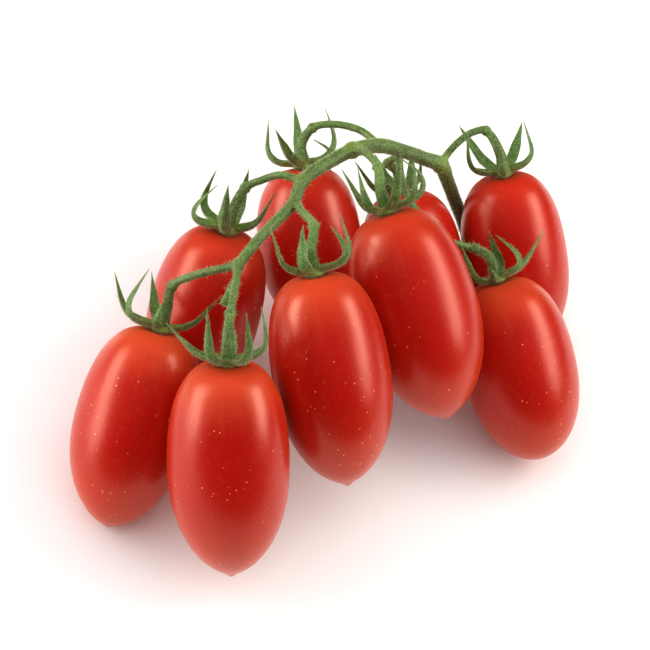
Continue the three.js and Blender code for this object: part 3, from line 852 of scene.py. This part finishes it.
class TRUSS_OT_down(bpy.types.Operator):
    """Makes the fine hairs on the stem and the calyces"""

    bl_idname = "truss.down"
    bl_label = "Make down"

    def execute(self, context):
        settings = context.scene.truss_down
        material = down_hair()
        rng = np.random.default_rng(HAIR_SEED)
        coats = [("stem_down", "stem", settings.stem_hairs, SHORT_HAIRS, HAIR_RADIUS, "stem_green"),
                 ("stem_hairs", "stem", settings.long_hairs, LONG_HAIRS, LONG_HAIR_RADIUS, "stem_green")]
        coats += [(f"sepal_down_{number}", f"sepals_{number}", settings.sepal_hairs, SEPAL_HAIRS,
                   HAIR_RADIUS, "sepal_green") for number in range(1, len(FRUITS) + 1)]
        for name, carrier, count, limits, radius, slot in coats:
            hairs = hair_mesh(name, bpy.data.objects[carrier].data, count, limits, radius, rng)
            add_piece(name, hairs, material, None)
        return {"FINISHED"}


def softbox(collection, name, place, size, power, colour, diffuse, glossy):
    """An area light at a seen place that faces the truss, level with the viewer's own up."""
    light = bpy.data.lights.new(name, "AREA")
    light.shape = "RECTANGLE"
    light.size, light.size_y = size[0] * MM, size[1] * MM
    light.energy = power
    light.color = colour
    box = bpy.data.objects.new(name, light)
    collection.objects.link(box)
    at = to_frame(np.array(place, dtype=float))
    back = unit(at - to_frame(np.array(LIGHTS_FACE)))
    side = unit(np.cross(TURN[:, 1], back))
    turned = np.stack([side, np.cross(back, side), back], axis=1)
    box.matrix_world = Matrix.Translation(at.tolist()) @ Matrix(turned.tolist()).to_4x4()
    box.visible_diffuse = diffuse
    box.visible_glossy = glossy
    box.visible_camera = False


def studio_world():
    """A white world that lights the truss faintly and is a pale backdrop to the camera."""
    world = bpy.data.worlds.new("studio")
    world.use_nodes = True
    nodes, links = world.node_tree.nodes, world.node_tree.links
    background = nodes["Background"]
    background.inputs["Color"].default_value = (1, 1, 1, 1)
    seen_straight = nodes.new("ShaderNodeLightPath").outputs["Is Camera Ray"]
    strength = nodes.new("ShaderNodeMapRange")
    strength.inputs["To Min"].default_value = WORLD_STRENGTH
    strength.inputs["To Max"].default_value = BACKDROP_STRENGTH
    links.new(seen_straight, strength.inputs["Value"])
    links.new(strength.outputs[0], background.inputs["Strength"])
    return world


class TRUSS_OT_stage(bpy.types.Operator):
    """Makes the floor, the lights and the camera"""

    bl_idname = "truss.stage"
    bl_label = "Make stage"

    def execute(self, context):
        mesh = bpy.data.meshes.new("floor")
        angle = np.linspace(0, 2 * np.pi, 128, endpoint=False)
        rim = np.stack([np.cos(angle), np.sin(angle), 0 * angle], axis=-1) * FLOOR_RADIUS
        mesh.from_pydata(rim.tolist(), [], [tuple(range(len(rim)))])
        mesh.materials.append(floor_finish())
        floor = bpy.data.objects.new("floor", mesh)
        context.collection.objects.link(floor)
        for light in LIGHTS:
            softbox(context.collection, *light)
        context.scene.world = studio_world()
        context.scene.view_settings.view_transform = "Standard"
        context.scene.view_settings.gamma = VIEW_GAMMA
        lens = bpy.data.cameras.new("viewer")
        lens.sensor_width = SENSOR
        lens.lens = SENSOR * VIEW_DISTANCE / VIEW_WIDTH
        camera = bpy.data.objects.new("viewer", lens)
        context.collection.objects.link(camera)
        place = to_frame(np.array([0.0, 0.0, VIEW_DISTANCE]))
        camera.matrix_world = Matrix.Translation(place.tolist()) @ Matrix(TURN.tolist()).to_4x4()
        context.scene.camera = camera
        return {"FINISHED"}


class TRUSS_PT_pieces(bpy.types.Panel):
    """Lists the truss's pieces and what may be changed on them"""

    bl_idname = "TRUSS_PT_pieces"
    bl_label = "Truss of plum tomatoes"
    bl_space_type = "VIEW_3D"
    bl_region_type = "UI"
    bl_category = "Truss"

    def draw(self, context):
        for group in (context.scene.truss_fruits, context.scene.truss_greens, context.scene.truss_down):
            box = self.layout.box()
            for name in group.__annotations__:
                box.prop(group, name)
        for operator in OPERATORS:
            self.layout.operator(operator.bl_idname)


OPERATORS = (TRUSS_OT_fruits, TRUSS_OT_calyces, TRUSS_OT_stem, TRUSS_OT_down, TRUSS_OT_stage)
GROUPS = {"truss_fruits": FruitSettings, "truss_greens": GreenSettings, "truss_down": DownSettings}


def register():
    """Adds the settings, the operators and the panel."""
    for group in GROUPS.values():
        bpy.utils.register_class(group)
    for name, group in GROUPS.items():
        setattr(bpy.types.Scene, name, bpy.props.PointerProperty(type=group))
    for operator in OPERATORS:
        bpy.utils.register_class(operator)
    bpy.utils.register_class(TRUSS_PT_pieces)


def unregister():
    """Takes them away again."""
    bpy.utils.unregister_class(TRUSS_PT_pieces)
    for operator in reversed(OPERATORS):
        bpy.utils.unregister_class(operator)
    for name, group in GROUPS.items():
        delattr(bpy.types.Scene, name)
        bpy.utils.unregister_class(group)


def main():
    """Builds every piece in turn."""
    register()
    bpy.ops.truss.fruits()
    bpy.ops.truss.calyces()
    bpy.ops.truss.stem()
    bpy.ops.truss.down()
    bpy.ops.truss.stage()


if __name__ == "__main__":
    main()
